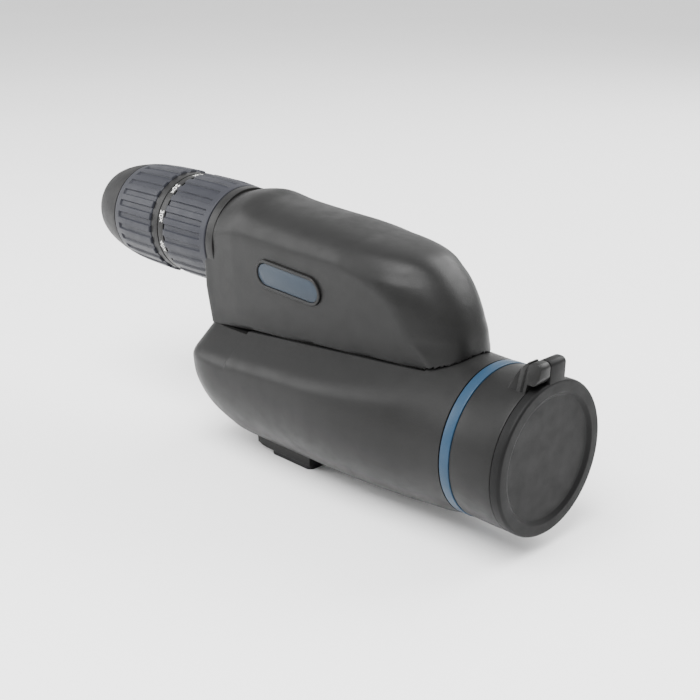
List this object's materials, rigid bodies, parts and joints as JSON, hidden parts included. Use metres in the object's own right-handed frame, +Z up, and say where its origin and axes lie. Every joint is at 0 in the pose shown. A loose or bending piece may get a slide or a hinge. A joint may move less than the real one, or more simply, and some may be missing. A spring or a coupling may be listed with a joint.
{
  "type": "spotting scope",
  "caption": "Spotting scope with a folded body, straight zoom eyepiece, pull-out eyecup, flip-up objective cap and tripod foot.",
  "frame": {"origin": "middle of the tripod foot's face", "axes": "+X along the objective axis towards the target, +Z up, so the side with the badge faces -Y"},
  "size_m": [0.3199, 0.0862, 0.1393],
  "materials": {
    "armour": "rubber-coated, satin",
    "bell_armour": "rubber-coated, satin",
    "band_metal": "satin paint",
    "grip_rubber": "matt, ribbed",
    "eyecup_rubber": "matt",
    "cap_plastic": "matt",
    "liner_foam": "foam",
    "accent_blue": "metallic paint, satin",
    "bezel_metal": "satin paint",
    "badge_face": "metallic paint, blank",
    "foot_metal": "black anodised",
    "screw_steel": "machined",
    "insert_brass": "machined",
    "inner_black": "black anodised",
    "coated_glass": "coated",
    "prism_glass": "polished"
  },
  "bodies": {
    "housing": {"lower_housing": "armour", "upper_housing": "armour", "foot_plate": "foot_metal", "foot_screw_1": "screw_steel", "foot_screw_2": "screw_steel", "foot_screw_3": "screw_steel", "foot_screw_4": "screw_steel", "tripod_thread_insert": "insert_brass", "badge_bezel": "bezel_metal", "badge_plate": "badge_face", "accent_ring": "accent_blue", "objective_bell": "bell_armour", "cap_hinge_pin": "screw_steel", "cap_friction_bush": "insert_brass", "objective_cell": "inner_black", "objective_front_lens": "coated_glass", "objective_rear_lens": "coated_glass", "objective_retainer": "inner_black", "rear_prism": "prism_glass", "rear_prism_cradle": "inner_black", "front_prism": "prism_glass", "front_prism_cradle": "inner_black", "ocular_barrel": "band_metal", "eyepiece_collar": "armour"},
    "cap": {"flip_cap": "cap_plastic", "cap_liner": "liner_foam"},
    "zoom": {"zoom_ring": "band_metal", "zoom_grip": "grip_rubber", "zoom_cam_tube": "inner_black", "zoom_drive_screw": "screw_steel"},
    "zoom_front_group": {"zoom_front_cell": "inner_black", "zoom_front_lens": "coated_glass"},
    "zoom_rear_group": {"zoom_rear_cell": "inner_black", "zoom_rear_lens": "coated_glass"},
    "focus": {"focus_ring": "band_metal", "focus_grip": "grip_rubber"},
    "eye_group": {"eye_cell": "inner_black", "eye_lens": "coated_glass", "field_lens": "coated_glass"},
    "eyecup": {"eyecup": "eyecup_rubber", "eyecup_carrier": "inner_black"}
  },
  "joints": [
    {"name": "cap_hinge", "type": "hinge", "parent": "housing", "child": "cap", "pos_m": [0.1491, 0, 0.0886], "axis": [0, -1, 0], "range_deg": [0, 170]},
    {"name": "zoom_turn", "type": "hinge", "parent": "housing", "child": "zoom", "pos_m": [-0.0765, 0, 0.11], "axis": [1, 0, 0], "range_deg": [0, 150]},
    {"name": "zoom_front_slide", "type": "slide", "parent": "housing", "child": "zoom_front_group", "axis": [-1, 0, 0], "range_m": [0, 0.01]},
    {"name": "zoom_rear_slide", "type": "slide", "parent": "housing", "child": "zoom_rear_group", "axis": [-1, 0, 0], "range_m": [0, 0.016]},
    {"name": "focus_turn", "type": "hinge", "parent": "housing", "child": "focus", "pos_m": [-0.1235, 0, 0.11], "axis": [1, 0, 0], "range_deg": [-120, 120]},
    {"name": "eye_slide", "type": "slide", "parent": "housing", "child": "eye_group", "axis": [1, 0, 0], "range_m": [-0.0025, 0.0025]},
    {"name": "eyecup_slide", "type": "slide", "parent": "housing", "child": "eyecup", "axis": [-1, 0, 0], "range_m": [0, 0.007]}
  ],
  "couplings": [
    {"joint": "zoom_front_slide", "follows": "zoom_turn", "m_per_rad": 0.0038},
    {"joint": "zoom_rear_slide", "follows": "zoom_turn", "m_per_rad": 0.0061},
    {"joint": "eye_slide", "follows": "focus_turn", "m_per_rad": 0.00119}
  ]
}
